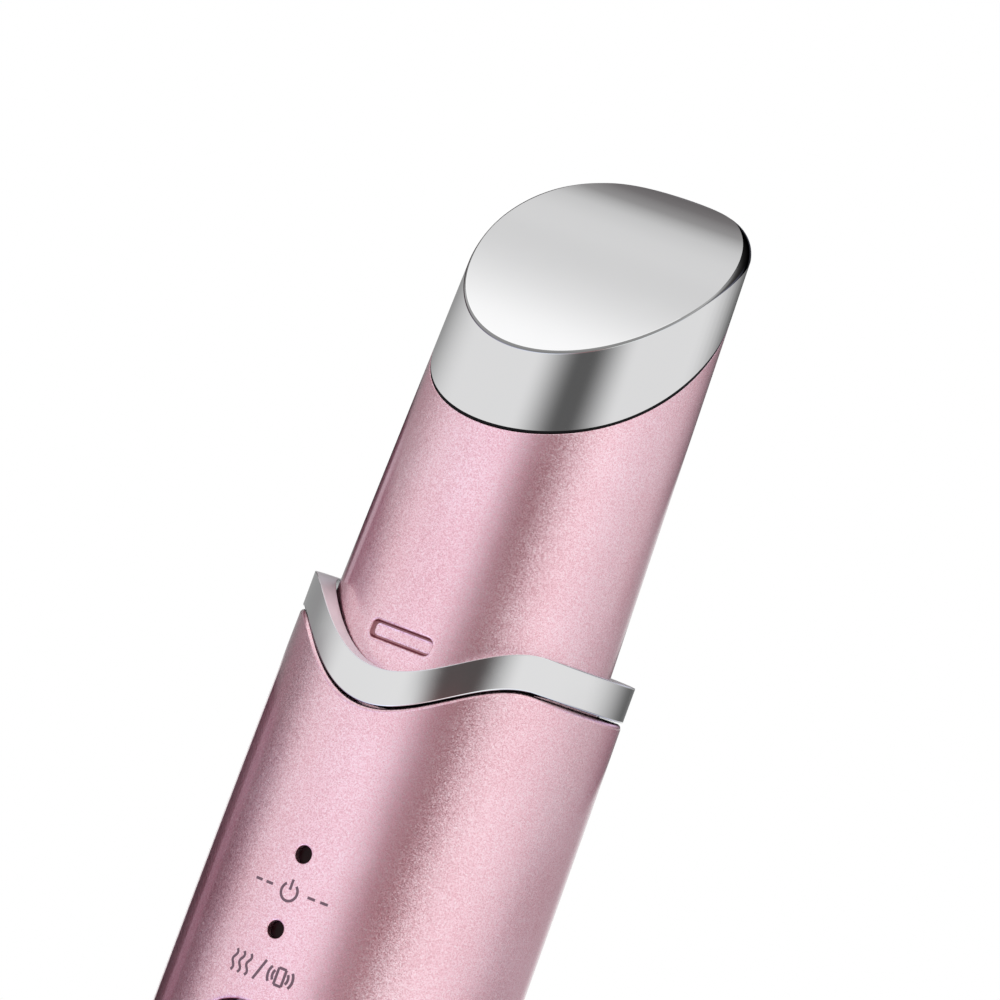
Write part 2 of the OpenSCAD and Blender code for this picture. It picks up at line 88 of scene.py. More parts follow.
# Button and lights
BUTTON_Z, BUTTON_R, BUTTON_GAP, CAP_RECESS = 66.4, 4.5, 0.2, 0.06
FLANGE_R, FLANGE_BACK, FLANGE_FRONT = 5.4, 8.2, 8.95
LIGHTS_Z, LIGHT_R = (76.5, 82.1), 0.65
POWER_MARK_Z, HEAT_MARK_Z = 79.4, 73.5

# Base cap, with its stem and cup, its sealing groove, its thread and its coin slot
CAP_TOP, CAP_GAP, BASE_ROUND, CAP_FLOOR = 14.0, 0.2, 1.5, 2.2
CUP_R, STEM_R, STEM_TOP = 6.3, 8.5, 21.8
GROOVE_Z, GROOVE_R = 15.3, 0.66
THREAD_FOOT, THREAD_PITCH, THREAD_TURNS, THREAD_CREST_R = 16.8, 3.0, 1.1, 9.15
SLOT_W, SLOT_H, SLOT_DEPTH, SLOT_CORNER = 13.0, 1.6, 1.0, 0.3
HANDLE_FOOT = CAP_TOP + CAP_GAP

# ---- outlines ----


def handle_r(z):
    """Radius of the handle's outer surface."""
    if z < BELLY_Z:
        return BELLY_R - (BELLY_R - BASE_R) * ((BELLY_Z - z) / BELLY_Z) ** 2
    share = (z - BELLY_Z) / (COLLAR_TOP - COLLAR_H - BELLY_Z)
    return BELLY_R - (BELLY_R - SHOULDER_R) * share ** 2


def body_r(z):
    """Radius of the neck and the head's wall."""
    return NECK_R - NECK_SLOPE * (z - NECK_REF_Z)


def eased(angle, start, full, low, high):
    """Goes smoothly from low to high between two angles, the same on both sides of the front."""
    w = max(0, min(1, (abs(angle) - start) / (full - start)))
    return low + (high - low) * w * w * (3 - 2 * w)


def rim_round(angle):
    """Size of the head's rounded rim, which widens towards the tip."""
    return eased(angle, TIP_START, TIP_FULL, RIM_ROUND, TIP_ROUND)


def seal_h(angle):
    """Height of the black seal, which grows where its line is steep."""
    return eased(angle, SEAL_START, SEAL_FULL, SEAL_H, SEAL_SIDE_H)


def face_z(u):
    """Height of the massage face, u behind the axis."""
    roll = ROLL_DROP * ROLL_W * math.log(
        (1 + math.exp((u - ROLL_U) / ROLL_W)) / (1 + math.exp(-ROLL_U / ROLL_W)))
    return FACE_MID + FACE_RISE * u - FACE_BOW * u ** 2 - roll


def joint_z(u):
    """Height of the line between neck and head, u behind the axis."""
    v = min(u, JOINT_KNEE)
    z = JOINT_MID + JOINT_RISE * v + JOINT_BOW * v ** 2
    past = u - v
    return z + (JOINT_RISE + 2 * JOINT_BOW * JOINT_KNEE) * past - JOINT_FALL * past ** 2


def wave_z(angle, r, level):
    """Height of the collar's wavy line at an angle and radius, when its flat part is at level."""
    if abs(angle) >= 90:
        return level
    swing = math.degrees(math.asin(max(-1, min(1, on_round(angle, r)[0] / SHOULDER_R))))
    if abs(swing) >= VALLEY_ANGLE:
        return level
    return level - VALLEY_DEPTH * (1 + math.cos(math.pi * swing / VALLEY_ANGLE)) / 2


def on_round(angle, r):
    """Point at this angle from the front, seen from above."""
    a = math.radians(angle)
    return r * math.sin(a), -r * math.cos(a)


def level_row(angles, r, z):
    """Row of points at these angles, all at one height."""
    return [(*on_round(a, r), z) for a in angles]


def meet(angle, height, lift=0.0, inset=0.0):
    """Height at which the body's wall meets a surface given by its height over u, found by turns."""
    z = height(0)
    for _ in range(MEET_TURNS):
        z = height(-(body_r(z) - inset) * math.cos(math.radians(angle))) + lift
    return z


def steps(a, b, size):
    """Evenly spaced values, at most about size apart, from a up to but not including b."""
    n = max(1, math.ceil((b - a) / size - 1e-6))
    return [a + (b - a) * i / n for i in range(n)]


def spans(*runs, end):
    """Values up to and including end, along runs that are each given as (start, size of the steps)."""
    values = []
    for (start, size), (stop, _) in zip(runs, runs[1:] + ((end, 0),)):
        values += steps(start, stop, size)
    return values + [end]


def climb_to(count, support):
    """Shares of a height up to 1, with a row just below the edge that keeps its shading crisp."""
    return [k / count for k in range(1, count)] + [support, 1.0]


def nearest(values, value):
    """Place in a list of the value that is closest."""
    return min(range(len(values)), key=lambda i: abs(values[i] - value))


def rounding(count):
    """Pairs (in, up), both from 0 to 1, along a quarter circle that leaves upwards."""
    return [(1 - math.cos(math.pi / 2 * i / count), math.sin(math.pi / 2 * i / count))
            for i in range(1, count + 1)]


def rounded(s, t, w, h, corner):
    """The point of a square's edge, s and t from -1 to 1, moved to a rounded rectangle."""
    x, z = s * w, t * h
    cx = max(-(w - corner), min(w - corner, x))
    cz = max(-(h - corner), min(h - corner, z))
    d = math.hypot(x - cx, z - cz)
    if d < 1e-9:
        return x, z
    return cx + corner * (x - cx) / d, cz + corner * (z - cz) / d


# ---- mesh making ----


def into_scene(name, data):
    """New object with this data."""
    made = bpy.data.objects.new(name, data)
    bpy.context.scene.collection.objects.link(made)
    return made


def mesh_by(operator, name, **settings):
    """Mesh from one of bmesh's own forms."""
    mesh = bpy.data.meshes.new(name)
    form = bmesh.new()
    operator(form, **settings)
    form.to_mesh(mesh)
    form.free()
    return mesh


class Shell:
    """Points in millimetres and the faces between them, which become one closed mesh."""

    def __init__(self):
        self.points = []
        self.faces = []

    def row(self, points):
        """Adds points and returns their numbers."""
        first = len(self.points)
        self.points.extend(points)
        return list(range(first, len(self.points)))

    def bridge(self, a, b):
        """Joins two loops of as many points with four-sided faces."""
        for i in range(len(a)):
            j = (i + 1) % len(a)
            self.faces.append((a[i], a[j], b[j], b[i]))

    def close(self, loop, point):
        """Closes a loop with triangles to one point."""
        pole = self.row([point])[0]
        for i in range(len(loop)):
            self.faces.append((loop[i], loop[(i + 1) % len(loop)], pole))

    def cap_ends(self, rings):
        """Joins rings one after the other and closes both ends with a flat face."""
        for a, b in zip(rings, rings[1:]):
            self.bridge(a, b)
        self.faces += [tuple(rings[0]), tuple(reversed(rings[-1]))]

    def loft(self, rows, cuts=()):
        """Joins rows of points round the axis, leaving out the cells that a cut covers."""
        grid = [self.row(points) for points in rows]
        count = len(grid[0])
        for j in range(len(grid) - 1):
            for i in range(count):
                if any(c[0] <= i < c[1] and c[2] <= j < c[3] for c in cuts):
                    continue
                k = (i + 1) % count
                self.faces.append((grid[j][i], grid[j][k], grid[j + 1][k], grid[j + 1][i]))
        return grid

    def make(self, name, finish, body, replaced=(), sharp=35):
        """Makes the piece, rides it on its body and hides the model's parts that it replaces."""
        mesh = bpy.data.meshes.new(name)
        mesh.from_pydata([[c * MM for c in p] for p in self.points], [], self.faces)
        form = bmesh.new()
        form.from_mesh(mesh)
        bmesh.ops.delete(form, geom=[v for v in form.verts if not v.link_faces], context="VERTS")
        bmesh.ops.recalc_face_normals(form, faces=form.faces)
        form.to_mesh(mesh)
        form.free()
        mesh.shade_smooth()
        mesh.set_sharp_from_angle(angle=math.radians(sharp))
        mesh.materials.append(finish)
        piece = into_scene(name, mesh)
        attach(piece, body)
        if replaced:
            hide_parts(*replaced)
        return piece


def border(grid, cut):
    """The points round a cut, each with its place on a square from -1 to 1."""
    i0, i1, j0, j1 = cut
    walk = [(i, j0) for i in range(i0, i1)] + [(i1, j) for j in range(j0, j1)]
    walk += [(i, j1) for i in range(i1, i0, -1)] + [(i0, j) for j in range(j1, j0, -1)]
    return [(grid[j][i], 2 * (i - i0) / (i1 - i0) - 1, 2 * (j - j0) / (j1 - j0) - 1) for i, j in walk]


def front_point(x, z, radius, depth=0.0):
    """Point of a round surface's front at x and z, moved backwards by depth."""
    r = radius(z)
    return x, -math.sqrt(r * r - x * x) + depth, z


def lead_in(shell, edge, middle, outline, radius, count):
    """Rings on the surface from a cut's edge to an outline round middle. Returns the last ring."""
    last = [p[0] for p in edge]
    for k in range(1, count + 1):
        w = k / count
        ring = []
        for index, s, t in edge:
            x0, _, z0 = shell.points[index]
            x1, z1 = outline(s, t)
            ring.append(front_point(x0 + (x1 - x0) * w, z0 + (middle + z1 - z0) * w, radius))
        ring = shell.row(ring)
        shell.bridge(last, ring)
        last = ring
    return last


def ring_of(shell, edge, middle, outline, radius, depth, last):
    """One more ring round middle, at this depth, joined to the last one."""
    ring = shell.row([front_point(x, middle + z, radius, depth)
                      for x, z in (outline(s, t) for _, s, t in edge)])
    shell.bridge(last, ring)
    return ring


def round_lip(shell, edge, middle, outline, radius, lip, last):
    """Rounded edge of an opening with this outline(grow), joined to the last ring before it."""
    for inwards, up in rounding(LIP_ROWS):
        last = ring_of(shell, edge, middle, outline(lip * (1 - up)), radius, lip * inwards, last)
    return last


# ---- finishes ----

# Cells to the metre, the flakes' share in the paint's tone and how far they tilt
FLAKES, PAINT_CLOUDS, POLISH_CLOUDS, GRAIN_CLOUDS = 15000, 160, 450, 350
FLAKE_SHARE, FLAKE_LEAN = 0.6, 0.11
PLATING = (0.72, 0.72, 0.725, 1)
# black of the rubber seal, and also of the shadow painted in the gap under the collar
RUBBER_AND_GAP_SHADOW_BLACK = (0.003, 0.0025, 0.003)

# Stretch behind the axis, in millimetres, over which a dark reflection is painted onto the rim, and its
# shift towards the right
RIM_PAINTED_DARK_START, RIM_PAINTED_DARK_FULL, RIM_PAINTED_DARK_SKEW = 2.5, 6.0, 0.35


class Finish:
    """A material under construction: its shader, and short ways to add nodes to it."""

    def __init__(self, name, **sockets):
        self.material = bpy.data.materials.new(name)
        self.material.use_nodes = True
        tree = self.material.node_tree
        self.nodes, self.links = tree.nodes, tree.links
        self.shader = self.nodes["Principled BSDF"]
        for socket, value in sockets.items():
            self.shader.inputs[socket.replace("_", " ")].default_value = value
        self.place = self.add("ShaderNodeTexCoord").outputs["Object"]

    def add(self, kind, inputs=None, **settings):
        """New node of a kind, with its inputs set to values or wired to outputs."""
        node = self.nodes.new(kind)
        for key, value in settings.items():
            setattr(node, key, value)
        for key, value in (inputs or {}).items():
            if isinstance(value, bpy.types.NodeSocket):
                self.links.new(value, node.inputs[key])
            else:
                node.inputs[key].default_value = value
        return node

    def wire(self, socket, output):
        """Feeds a socket of the shader."""
        self.links.new(output, self.shader.inputs[socket])

    def noise(self, scale, detail=2.0):
        """Noise with scale cells to the metre."""
        return self.add("ShaderNodeTexNoise", {"Vector": self.place, "Scale": scale,
                                               "Detail": detail}).outputs["Fac"]

    def maths(self, operation, a, b=0.0):
        """What a sum with one or two numbers gives."""
        return self.add("ShaderNodeMath", {0: a, 1: b}, operation=operation).outputs[0]

    def vector(self, operation, a, b=None):
        """What a sum with one or two vectors gives."""
        inputs = {0: a} if b is None else {0: a, 1: b}
        return self.add("ShaderNodeVectorMath", inputs, operation=operation).outputs[0]

    def axes(self, place):
        """The X, Y and Z of a place, as outputs."""
        parts = self.add("ShaderNodeSeparateXYZ", {0: place}).outputs
        return parts["X"], parts["Y"], parts["Z"]

    def blend(self, amount, a, b):
        """Colour between a and b."""
        return self.add("ShaderNodeMix", {0: amount, 6: a, 7: b}, data_type="RGBA").outputs[2]

    def span(self, value, low, high, start=0.0, end=1.0, kind="LINEAR"):
        """Turns start to end into low to high."""
        return self.add("ShaderNodeMapRange", {"Value": value, "From Min": start, "From Max": end,
                        "To Min": low, "To Max": high}, interpolation_type=kind).outputs["Result"]

    def ramp(self, value, stops, kind="LINEAR"):
        """Colour ramp through (place, colour or grey) stops."""
        node = self.add("ShaderNodeValToRGB", {"Fac": value})
        ramp = node.color_ramp
        ramp.interpolation = kind
        while len(ramp.elements) < len(stops):
            ramp.elements.new(0.5)
        for element, (place, colour) in zip(ramp.elements, stops):
            element.position = place
            element.color = (*colour, 1) if isinstance(colour, tuple) else (colour,) * 3 + (1,)
        return node.outputs["Color"]

    def bump(self, height, distance):
        """Bump of this depth in millimetres."""
        return self.add("ShaderNodeBump", {"Height": height, "Distance": distance * MM,
                                           "Strength": 1.0}).outputs["Normal"]

    def surface(self, output):
        """Feeds the material's surface with something other than its shader."""
        self.links.new(output, self.nodes["Material Output"].inputs["Surface"])


def pearl(name):
    """Pearl paint: fine flakes that tilt a little and glint, under a clear coat."""
    f = Finish(name, Metallic=0.98, Coat_Weight=1.0, Coat_Roughness=0.05, Coat_IOR=1.55,
               Specular_Tint=(0.66, 0.36, 0.45, 1))
    flakes = f.add("ShaderNodeTexVoronoi", {"Vector": f.place, "Scale": FLAKES}).outputs["Color"]
    parts = f.add("ShaderNodeSeparateColor", {"Color": flakes}).outputs
    cloud = f.noise(PAINT_CLOUDS, 3)
    tone = f.maths("ADD", f.maths("MULTIPLY", parts["Red"], FLAKE_SHARE),
                   f.maths("MULTIPLY", cloud, 1 - FLAKE_SHARE))
    paint = f.ramp(tone, [(0.1, (0.71, 0.35, 0.41)), (0.5, (0.90, 0.55, 0.62)),
                          (0.9, (1.0, 0.76, 0.83))])
    glint = f.span(parts["Green"], 0, 0.45, 0.85, 0.97)
    f.wire("Base Color", f.blend(glint, paint, (1.0, 0.88, 0.90, 1)))
    f.wire("Roughness", f.span(cloud, 0.28, 0.33))
    tilt = f.vector("SUBTRACT", flakes, (0.5, 0.5, 0.5))
    lean = f.add("ShaderNodeVectorMath", {0: tilt, "Scale": FLAKE_LEAN}, operation="SCALE").outputs[0]
    normal = f.add("ShaderNodeNewGeometry").outputs["Normal"]
    f.wire("Normal", f.vector("NORMALIZE", f.vector("ADD", normal, lean)))
    return f.material


def chrome(name):
    """Polished plating with faint cloudiness from the polishing."""
    f = Finish(name, Metallic=1.0, Base_Color=PLATING)
    f.wire("Roughness", f.span(f.noise(POLISH_CLOUDS, 4), 0.035, 0.075))
    return f.material


def rim_metal_with_painted_reflection(name):
    """Plating on the head's rim, with a dark reflection painted into its colour round the tip, sooner
    on its right.
    """
    f = Finish(name, Metallic=1.0, Specular_Tint=(0.3, 0.3, 0.3, 1))
    x, y, _ = f.axes(f.place)
    reach = f.maths("ADD", y, f.maths("MULTIPLY", x, RIM_PAINTED_DARK_SKEW))
    dark = f.span(reach, 0, 1, RIM_PAINTED_DARK_START * MM, RIM_PAINTED_DARK_FULL * MM, "SMOOTHSTEP")
    # painted reflection: the base colour goes from grey to near black round the tip, in place of a dark
    # reflection
    f.wire("Base Color", f.ramp(dark, [(0, 0.3), (1, 0.05)]))
    f.wire("Roughness", f.span(f.noise(POLISH_CLOUDS, 4), 0.05, 0.09))
    return f.material


def moulded(name, colour, rough=0.45, grain=2500, depth=0.004, metallic=0.0, vary=0.12, shine=0.5):
    """Moulded plastic, rubber or plain metal: a fine grain, and slight changes of tone."""
    f = Finish(name, Metallic=metallic, Specular_IOR_Level=shine)
    cloud = f.noise(GRAIN_CLOUDS, 3)
    dark = tuple(c * (1 - vary) for c in colour)
    light = tuple(min(1.0, c * (1 + vary)) for c in colour)
    f.wire("Base Color", f.ramp(cloud, [(0.25, dark), (0.75, light)]))
    f.wire("Roughness", f.span(f.noise(grain / 2), rough - 0.06, rough + 0.06))
    f.wire("Normal", f.bump(f.noise(grain, 3), depth))
    return f.material


def lens(name):
    """Smoked clear plastic."""
    f = Finish(name, Specular_IOR_Level=0.12)
    f.wire("Base Color", f.ramp(f.noise(900), [(0.3, (0.008, 0.001, 0.002)),
                                               (0.7, (0.014, 0.002, 0.003))]))
    f.wire("Roughness", f.span(f.noise(2500), 0.2, 0.3))
    return f.material


def paint(piece, finish, chosen):
    """Gives the faces that a test picks a finish of their own."""
    mesh = piece.data
    mesh.materials.append(finish)
    for face in mesh.polygons:
        if chosen(face):
            face.material_index = len(mesh.materials) - 1


# Finishes of single faces, chosen by a test
BRUSHED_EDGE = moulded("brushed_collar_edge", (0.86, 0.86, 0.87), 0.35, metallic=0.55, vary=0.03)
# painted reflection: rim plating whose colour darkens round the tip
RIM_PAINTED_REFLECTION = rim_metal_with_painted_reflection("polished_rim_painted_reflection")
# painted shadow: the collar's underside is black so that the gap under it reads as deep shadow
GAP_SHADOW_PAINT = moulded("collar_underside_painted_shadow", RUBBER_AND_GAP_SHADOW_BLACK, 0.6, shine=0.15)
# painted shade: dark maroon for the recess's upper and lower walls, a lighter maroon for its rounded
# foot
RECESS_WALL_SHADE = moulded("recess_wall_painted_shade", (0.19, 0.045, 0.06), 0.4)
RECESS_FOOT_SHADE = moulded("recess_foot_painted_shade", (0.50, 0.22, 0.25), 0.4)
INK = moulded("mark_ink", (0.15, 0.085, 0.115), 0.5, 4000, 0.002)

# Finishes of whole pieces, by the record's slots
FINISHES = {
    "pearl_shell": pearl("pearl_paint"),
    "button_shell": pearl("pearl_button_paint"),
    "polished_head": chrome("polished_head_metal"),
    "polished_collar": chrome("polished_collar_metal"),
    "black_seal": moulded("black_rubber", RUBBER_AND_GAP_SHADOW_BLACK, 0.6, shine=0.15),
    "light_lens": lens("smoked_lens"),
    "inner_plastic": moulded("ivory_plastic", (0.76, 0.72, 0.62), 0.45),
    "heater": moulded("copper_film", (0.72, 0.38, 0.20), 0.35, metallic=0.8),
    "sensor": moulded("sensor_resin", (0.03, 0.03, 0.03), 0.3),
    "motor_steel": moulded("motor_steel", (0.55, 0.56, 0.58), 0.3, metallic=1.0, vary=0.05),
    "bush_bronze": moulded("sintered_bronze", (0.45, 0.28, 0.12), 0.5, metallic=0.9),
    "weight_metal": moulded("weight_metal", (0.30, 0.31, 0.32), 0.35, metallic=1.0),
    "board": moulded("board_mask", (0.012, 0.13, 0.05), 0.35, 1200, 0.01),
    "small_parts": moulded("small_part_resin", (0.06, 0.055, 0.05), 0.4),
    "plunger": moulded("plunger_plastic", (0.66, 0.62, 0.55), 0.4),
    "led": moulded("led_plastic", (0.85, 0.83, 0.74), 0.25),
    "contact_metal": moulded("plated_steel", (0.62, 0.60, 0.56), 0.3, metallic=1.0, vary=0.06),
    "coil_wire": moulded("spring_wire", (0.60, 0.50, 0.32), 0.3, metallic=1.0, vary=0.06),
    "cell": moulded("cell_wrap", (0.04, 0.16, 0.08), 0.3),
    "red_wire": moulded("red_insulation", (0.55, 0.02, 0.02), 0.4),
    "blue_wire": moulded("blue_insulation", (0.02, 0.06, 0.45), 0.4),
}


# ---- casing ----


def casing_rows(angles, low, radius, top, drop, climb):
    """Level rows, then rows that bend from the last of them up to drop below the casing's edge."""
    rows = [level_row(angles, radius(z), z) for z in low]
    for share in climb:
        heights = [low[-1] + (top(a) - drop - low[-1]) * share for a in angles]
        rows.append([(*on_round(a, radius(z)), z) for a, z in zip(angles, heights)])
    return rows


def edge_rows(angles, radius, top, size, count):
    """Rows over the casing's rounded upper edge."""
    rows = []
    for inwards, up in rounding(count):
        heights = [top(a) - size * (1 - up) for a in angles]
        rows.append([(*on_round(a, radius(z) - size * inwards), z) for a, z in zip(angles, heights)])
    return rows


def handle():
    """Handle shell, with its button hole, its light holes and its wavy top edge."""
    block, small = 5.6, 1.4             # half sizes of the fine blocks round the button and a light
    columns, light_columns = 32, 8      # columns of faces in those blocks
    front = 60                          # angle to each side within which the columns are closer
    foot_bevel, foot_rise = 0.07, 0.12
    blend_z = 84.0                      # above it the rows bend towards the wavy edge
    fine = math.degrees(block / BELLY_R)
    angles = spans((-180, 4), (-front, 2.3), (-fine, 2 * fine / columns), (fine, 2.3), (front, 4),
                   end=180)[:-1]
    low = spans((HANDLE_FOOT + foot_rise, 1.3), (BUTTON_Z - block, 0.35), (BUTTON_Z + block, 0.7),
                (LIGHTS_Z[0] - small, 0.35), (LIGHTS_Z[0] + small, 0.35),
                (LIGHTS_Z[1] - small, 0.35), (LIGHTS_Z[1] + small, 0.35), end=blend_z)

    def rows(radius, bevel, drop):
        """Rows of a wall from its foot, drawn in by bevel, up to drop below the wavy edge."""
        edge_r = radius(blend_z)
        return [level_row(angles, radius(HANDLE_FOOT) - bevel, HANDLE_FOOT)] + casing_rows(
            angles, low, radius, lambda a: wave_z(a, edge_r, HANDLE_TOP), drop, climb_to(16, 0.995))

    shell = Shell()
    outer_rows = rows(handle_r, foot_bevel, HANDLE_ROUND)
    outer_rows += edge_rows(angles, handle_r, lambda a: wave_z(a, SHOULDER_R, HANDLE_TOP),
                            HANDLE_ROUND, 6)

    def cut_round(z, half, count):
        """The cells of the fine block round a hole, from half below to half above its middle."""
        middle = nearest(angles, 0)
        return (middle - count // 2, middle + count // 2,
                1 + nearest(low, z - half), 1 + nearest(low, z + half))

    cuts = [cut_round(BUTTON_Z, block, columns)]
    cuts += [cut_round(z, small, light_columns) for z in LIGHTS_Z]
    outer = shell.loft(outer_rows, cuts)
    inner = shell.loft(rows(lambda _: BORE_R, 0, 0), cuts)
    shell.bridge(outer[0], inner[0])
    shell.bridge(outer[-1], inner[-1])
    holes = [(BUTTON_Z, BUTTON_R + BUTTON_GAP, 0.16)] + [(z, LIGHT_R, 0.1) for z in LIGHTS_Z]
    for cut, (z, r, lip) in zip(cuts, holes):

        def circle(grow, r=r):
            return lambda s, t: rounded(s, t, r + grow, r + grow, r + grow)

        edge, back = border(outer, cut), border(inner, cut)
        last = lead_in(shell, edge, z, circle(lip), handle_r, 5)
        last = round_lip(shell, edge, z, circle, handle_r, lip, last)
        shell.bridge(last, lead_in(shell, back, z, circle(0), lambda _: BORE_R, 4))
    return shell.make("handle_casing", FINISHES["pearl_shell"], "handle",
                      ("handle_shell",))


def neck():
    """Neck, with the rounded recess for a cover's catch, which has shade painted into it."""
    half_w, half_h = 3.2, 1.25          # half sizes of the fine block round the recess
    columns, block_rows = 40, 14
    blend_z = 108                       # above it the rows bend towards the slanted edge
    edge_round = 0.06
    fine = math.degrees(half_w / body_r(SNAP_Z))
    angles = spans((-180, 3), (-fine, 2 * fine / columns), (fine, 3), end=180)[:-1]
    low = spans((SPIGOT_TOP, 0.5), (SNAP_Z - half_h, 2 * half_h / block_rows), (SNAP_Z + half_h, 0.8),
                end=blend_z)

    def rows(inset, drop):
        """Rows of a wall, set in by inset, up to drop below the slanted edge."""
        return casing_rows(angles, low, lambda z: body_r(z) - inset,
                           lambda a: meet(a, joint_z, inset=inset), drop, climb_to(24, 0.997))

    shell = Shell()
    outer_rows = [level_row(angles, SPIGOT_R, z) for z in (SPIGOT_FOOT, SPIGOT_TOP)]
    outer_rows += rows(0, edge_round)
    outer_rows += edge_rows(angles, body_r, lambda a: meet(a, joint_z), edge_round, 3)
    middle = nearest(angles, 0)
    first = 2 + nearest(low, SNAP_Z - half_h)
    cut = (middle - columns // 2, middle + columns // 2, first, first + block_rows)
    outer = shell.loft(outer_rows, [cut])
    bore_foot = level_row(angles, body_r(SPIGOT_TOP) - NECK_WALL, SPIGOT_FOOT)
    inner = shell.loft([bore_foot] + rows(NECK_WALL, 0))
    shell.bridge(outer[0], inner[0])
    shell.bridge(outer[-1], inner[-1])
    snap_recess(shell, border(outer, cut))
    piece = shell.make("neck_casing", FINISHES["pearl_shell"], "handle", ("neck_shell",))

    def in_shaded_wall(face, above_floor):
        """Whether a face is in the recess's wall, where shade is painted: under its lip and this far
        above its floor.
        """
        margin, lip_depth = 0.02, 0.1
        x, y, z = face.center / MM
        inside = abs(x) < SNAP_W / 2 + margin and abs(z - SNAP_Z) < SNAP_H / 2 + margin
        under_lip = y + math.sqrt(body_r(z) ** 2 - x ** 2) > lip_depth
        return inside and under_lip and y < SNAP_DEPTH - body_r(SNAP_Z) - above_floor

    # painted shade in the recess: its rounded foot gets a mid maroon, its upper and lower walls a dark
    # one
    paint(piece, RECESS_FOOT_SHADE, lambda face: in_shaded_wall(face, 0.01))
    paint(piece, RECESS_WALL_SHADE, lambda face: in_shaded_wall(face, 0.08) and abs(face.normal.z) > 0.6)


def snap_recess(shell, edge):
    """Rounded recess: its lip, its wall, its rounded foot and its flat floor."""
    lip, foot, spread = 0.16, 0.22, 1.6         # spread: how much wider the foot is up than across
    w, h = SNAP_W / 2, SNAP_H / 2
    floor_y = -(body_r(SNAP_Z) - SNAP_DEPTH)

    def outline(grow):
        return lambda s, t: rounded(s, t, w + grow, h + grow, SNAP_CORNER + grow)

    def flat_ring(y, last, place):
        """Ring at one depth, whose points place gives, joined to the last one."""
        ring = shell.row([(x, y, SNAP_Z + z) for x, z in (place(s, t) for _, s, t in edge)])
        shell.bridge(last, ring)
        return ring

    last = lead_in(shell, edge, SNAP_Z, outline(lip), body_r, 3)
    last = round_lip(shell, edge, SNAP_Z, outline, body_r, lip, last)
    for inwards, up in [(0, 0)] + rounding(4):
        grow = -foot * inwards
        last = flat_ring(floor_y - foot + foot * up, last, lambda s, t: rounded(
            s, t, w + grow, h + spread * grow, SNAP_CORNER + grow))
    for grow in (-0.4, -0.5, -0.6):             # rings across the floor, up to its middle
        last = flat_ring(floor_y, last, lambda s, t: rounded(
            s, t, w + grow, h + grow, min(SNAP_CORNER, h + grow) * 0.5))
    shell.close(last, (0, floor_y, SNAP_Z))


def collar():
    """Wavy collar, its outer edges and its upper inner one rounded."""
    front = 64                          # angle to each side within which the columns are closer
    angles = spans((-180, 3), (-front, 1.0), (front, 3), end=180)[:-1]
    top_round, low_round, inner_round = 0.06, 0.08, 0.06
    foot, top = COLLAR_TOP - COLLAR_H, COLLAR_TOP
    band_h = COLLAR_H - low_round - top_round
    flat_w = SHOULDER_R - BORE_R - top_round - inner_round

    def row(r, level, lift):
        """Points at this radius, lift above the wavy line at level."""
        return [(*on_round(a, r), wave_z(a, r, level) + lift) for a in angles]

    rows = [row(SHOULDER_R - low_round, foot, 0)]
    rows += [row(SHOULDER_R - low_round * (1 - u), foot, low_round * i) for i, u in rounding(6)]
    rows += [row(SHOULDER_R, foot, low_round + band_h * w) for w in (0.015, 0.25, 0.5, 0.75, 0.985, 1)]
    rows += [row(SHOULDER_R - top_round * i, top, -top_round * (1 - u)) for i, u in rounding(5)]
    rows += [row(SHOULDER_R - top_round - flat_w * k / 3, top, 0) for k in range(1, 4)]
    rows += [row(BORE_R + inner_round * (1 - u), top, -inner_round * i) for i, u in rounding(3)]
    rows += [row(BORE_R, foot, 0)]
    shell = Shell()
    grid = shell.loft(rows)
    shell.bridge(grid[-1], grid[0])
    piece = shell.make("collar_band", FINISHES["polished_collar"], "handle",
                       ("wave_collar",))
    paint(piece, BRUSHED_EDGE, lambda face: face.normal.z > 0.8)
    # painted shadow: the collar's faces that look down get the black of the gap's shadow
    paint(piece, GAP_SHADOW_PAINT, lambda face: face.normal.z < -0.75)


